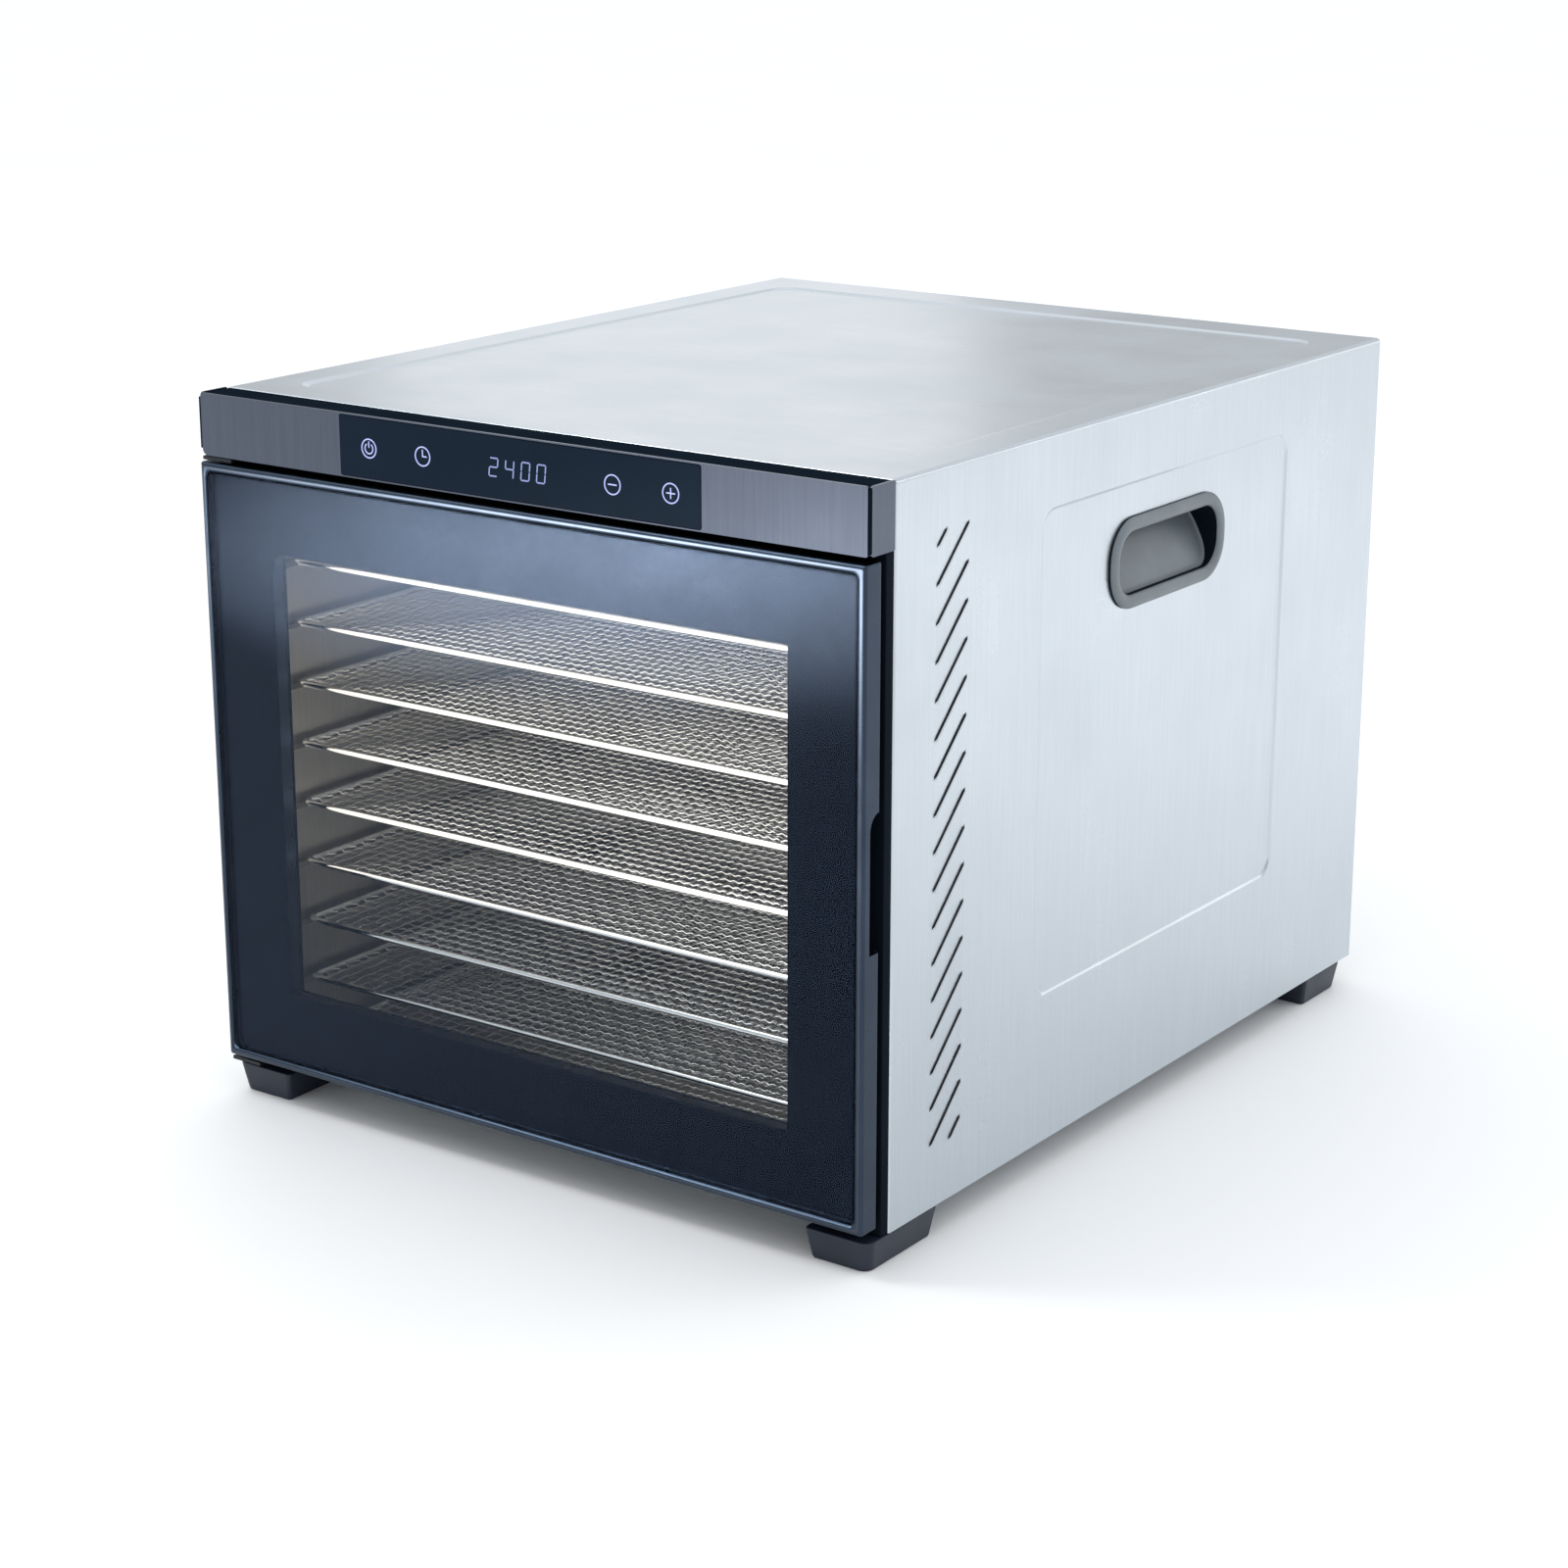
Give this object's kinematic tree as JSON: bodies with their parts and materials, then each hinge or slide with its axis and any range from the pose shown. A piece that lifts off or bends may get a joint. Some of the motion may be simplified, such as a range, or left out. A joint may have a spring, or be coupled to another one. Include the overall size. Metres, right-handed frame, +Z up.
{
  "type": "food dehydrator",
  "caption": "Counter-top food dehydrator: a brushed steel cabinet with wire trays behind a hinged glass door, touch controls above it and a carrying cup in each side.",
  "frame": {"origin": "on the surface under the middle of the machine", "axes": "+X to the machine's right as its user faces the door, +Y from the door to the back, +Z up"},
  "size_m": [0.452, 0.558, 0.415],
  "materials": {
    "brushed_steel": "brushed, bluish silver",
    "liner_steel": "satin",
    "chrome_wire": "bright",
    "gunmetal": "brushed, dark",
    "black_plastic": "satin",
    "door_black": "gloss",
    "grey_plastic": "fine matt texture",
    "foot_plastic": "matt",
    "door_glass": "clear, tempered",
    "control_glass": "high gloss",
    "seal_rubber": "matt",
    "circuit_board": "satin",
    "display": "satin",
    "motor_steel": "satin",
    "fan_aluminium": "satin",
    "heater_sheath": "heat-dulled",
    "ceramic": "matt",
    "cable_grey": "matt",
    "magnet": "satin"
  },
  "bodies": {
    "root": {"air_wall": "liner_steel", "base_pan": "brushed_steel", "bezel_plate": "gunmetal", "control_glass": "control_glass", "control_housing": "black_plastic", "display_module": "display", "fan_motor": "motor_steel", "foot_front_left": "foot_plastic", "foot_front_right": "foot_plastic", "foot_rear_left": "foot_plastic", "foot_rear_right": "foot_plastic", "front_frame": "black_plastic", "handle_left": "grey_plastic", "handle_right": "grey_plastic", "heater_coil": "heater_sheath", "heater_standoff_left": "ceramic", "heater_standoff_right": "ceramic", "hinge_bracket_lower": "brushed_steel", "hinge_bracket_upper": "brushed_steel", "hinge_pin_lower": "motor_steel", "hinge_pin_upper": "motor_steel", "inlet_socket": "black_plastic", "liner_floor": "liner_steel", "liner_left": "liner_steel", "liner_right": "liner_steel", "liner_top": "liner_steel", "mains_lead": "cable_grey", "motor_bracket": "brushed_steel", "outer_shell": "brushed_steel", "power_board": "circuit_board", "rear_panel": "brushed_steel", "rear_screw_left_high": "motor_steel", "rear_screw_left_low": "motor_steel", "rear_screw_right_high": "motor_steel", "rear_screw_right_low": "motor_steel", "ribbon_cable": "cable_grey", "strike_plate_lower": "brushed_steel", "strike_plate_upper": "brushed_steel", "temperature_probe": "motor_steel", "thermal_fuse": "motor_steel", "thermostat": "ceramic", "touch_board": "circuit_board", "tray_1": "chrome_wire", "tray_10": "chrome_wire", "tray_2": "chrome_wire", "tray_3": "chrome_wire", "tray_4": "chrome_wire", "tray_5": "chrome_wire", "tray_6": "chrome_wire", "tray_7": "chrome_wire", "tray_8": "chrome_wire", "tray_9": "chrome_wire"},
    "door": {"door_frame": "door_black", "door_liner": "black_plastic", "door_glass": "door_glass", "door_seal": "seal_rubber", "door_magnet_upper": "magnet", "door_magnet_lower": "magnet"},
    "fan_rotor": {"fan_shaft": "motor_steel", "fan_blade": "fan_aluminium"}
  },
  "joints": [
    {"name": "door_hinge", "type": "hinge", "parent": "root", "child": "door", "pos_m": [-0.216, -0.271, 0.2005], "axis": [0, 0, -1], "range_deg": [0, 120]},
    {"name": "fan_spin", "type": "hinge", "parent": "root", "child": "fan_rotor", "pos_m": [0, 0.1725, 0.2], "axis": [0, 1, 0], "continuous": true}
  ]
}
